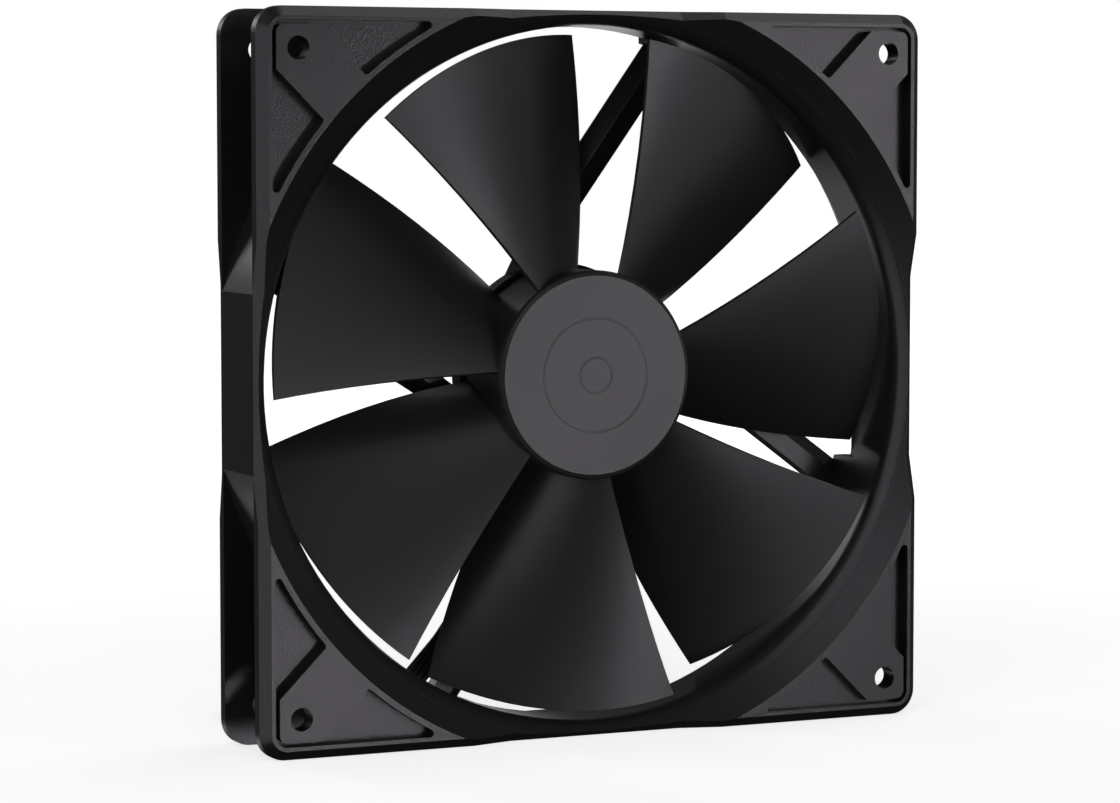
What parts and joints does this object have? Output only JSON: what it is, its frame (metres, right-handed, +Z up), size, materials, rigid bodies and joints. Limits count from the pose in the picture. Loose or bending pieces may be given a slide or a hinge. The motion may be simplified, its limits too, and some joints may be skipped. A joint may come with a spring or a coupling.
{
  "type": "case fan",
  "caption": "Square axial case fan with a moulded frame, corner mounting holes, a round duct, a bladed rotor on a hub motor held by rear struts, and a coiled lead.",
  "frame": {"origin": "middle of the fan without its lead: on the rotor's axis, halfway between the front and back faces", "axes": "+X to the right as seen from the front, +Y from the front face to the back face along the rotor's axis, +Z up"},
  "size_m": [0.14, 0.0683, 0.14],
  "materials": {
    "frame_plastic": "fine moulded texture, charcoal",
    "impeller_plastic": "smooth satin, charcoal",
    "label_film": "satin printed film, no lettering",
    "shaft_steel": "ground and polished",
    "yoke_steel": "zinc-plated sheet steel",
    "core_steel": "stamped electrical sheet",
    "bushing_brass": "turned",
    "bearing_bronze": "sintered, oiled",
    "tube_brass": "turned",
    "magnet": "bonded ferrite",
    "seal_rubber": "matte",
    "clip_plastic": "smooth nylon",
    "insulator_plastic": "moulded, natural",
    "copper_wire": "enamelled copper wire",
    "pin_tin": "tinned",
    "board_laminate": "solder mask",
    "chip_epoxy": "moulded epoxy",
    "wire_insulation": "satin",
    "lead_sleeve": "braided sleeving",
    "heat_shrink": "shrunk tube, satin",
    "connector_plastic": "moulded nylon",
    "terminal_tin": "tinned brass"
  },
  "bodies": {
    "fan_body": {"frame": "frame_plastic", "rear_label": "label_film", "bearing_tube": "tube_brass", "oil_seal_ring": "seal_rubber", "bearing_sleeve": "bearing_bronze", "shaft_clip": "clip_plastic", "thrust_pad": "clip_plastic", "stator_core": "core_steel", "upper_insulator": "insulator_plastic", "lower_insulator": "insulator_plastic", "stator_coils": "copper_wire", "winding_pins": "pin_tin", "circuit_board": "board_laminate", "driver_chip": "chip_epoxy", "hall_sensor": "chip_epoxy", "board_components": "chip_epoxy", "strut_wires": "wire_insulation", "lead_collar": "heat_shrink", "lead_tube": "lead_sleeve", "lead_coil": "lead_sleeve", "coil_tie": "heat_shrink", "connector_housing": "connector_plastic", "connector_terminals": "terminal_tin"},
    "rotor": {"impeller": "impeller_plastic", "rotor_yoke": "yoke_steel", "magnet_ring": "magnet", "shaft": "shaft_steel", "shaft_bushing": "bushing_brass", "hub_label": "label_film"}
  },
  "joints": [
    {"name": "rotor_spin", "type": "hinge", "parent": "fan_body", "child": "rotor", "pos_m": [0, 0, 0], "axis": [0, -1, 0], "continuous": true}
  ]
}
